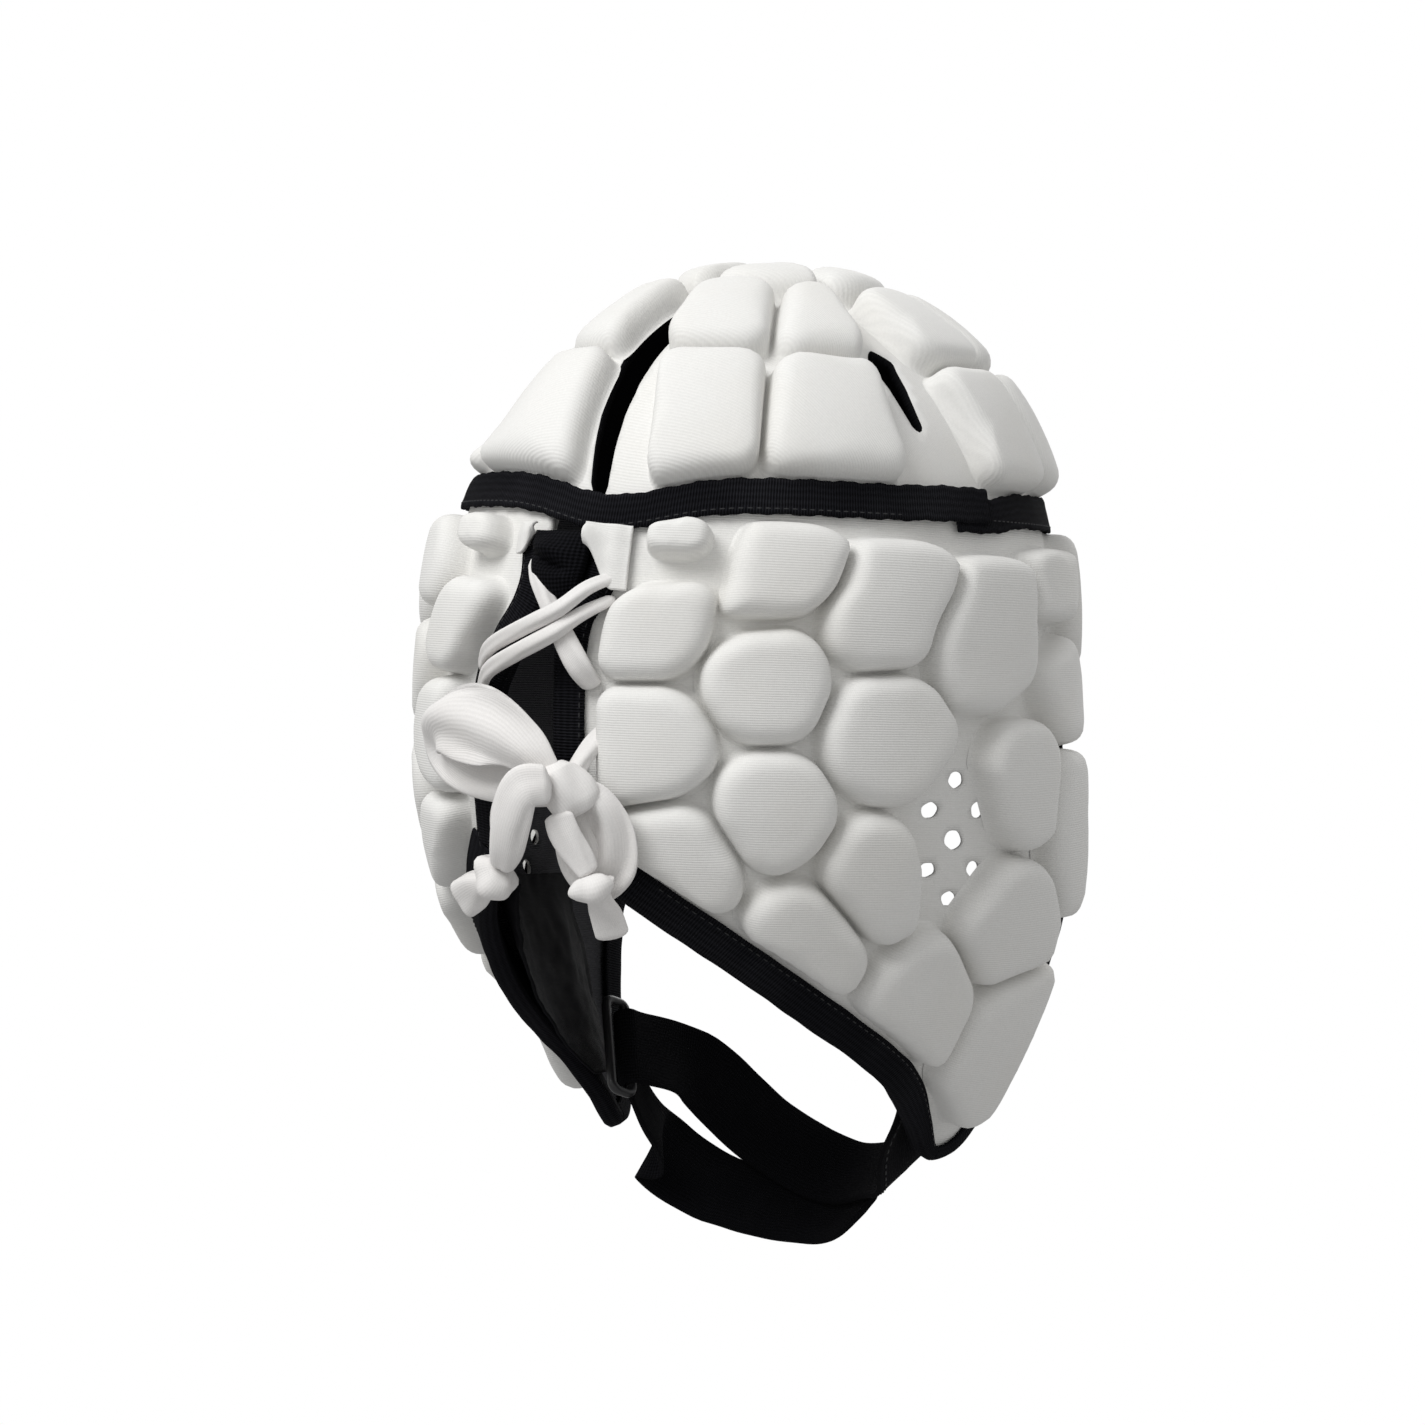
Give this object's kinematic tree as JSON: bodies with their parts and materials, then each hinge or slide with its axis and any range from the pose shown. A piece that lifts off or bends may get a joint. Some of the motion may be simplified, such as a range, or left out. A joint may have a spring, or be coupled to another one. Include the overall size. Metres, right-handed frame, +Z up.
{
  "type": "padded rugby scrum cap",
  "caption": "Soft padded head guard with a moulded pad crown, two side flaps laced at the back, bound edges and a chin strap.",
  "frame": {"origin": "the crown's inner top, where the head meets the cap", "axes": "+Z up, -Y the way the face looks, -X the wearer's right; millimetres in the source"},
  "size_m": [0.1947, 0.2421, 0.2911],
  "materials": {
    "quilted_cover": "matt off-white knitted cover over foam pads",
    "black_webbing": "matt black ribbed tape",
    "lace_cotton": "matt white braided cord",
    "strap_fabric": "matt black padded strap",
    "satin_lining": "black lining with a low sheen",
    "ring_plastic": "satin black plastic"
  },
  "bodies": {
    "root": {"crown": "quilted_cover", "side_panel_right": "quilted_cover", "side_panel_left": "quilted_cover", "crown_band": "black_webbing", "back_binding_right": "black_webbing", "back_binding_left": "black_webbing", "neck_binding_right": "black_webbing", "neck_binding_left": "black_webbing", "face_binding": "black_webbing", "back_gusset": "black_webbing", "lace_cross_over_upper": "lace_cotton", "lace_cross_over_lower": "lace_cotton", "lace_cross_under": "lace_cotton", "bow_loop_left": "lace_cotton", "bow_loop_right": "lace_cotton", "lace_tail_left": "lace_cotton", "lace_tail_right": "lace_cotton", "tail_end_left": "lace_cotton", "tail_end_right": "lace_cotton", "bow_knot": "lace_cotton", "chin_strap": "strap_fabric", "strap_ring": "ring_plastic", "jaw_lining_left": "satin_lining"}
  },
  "joints": []
}
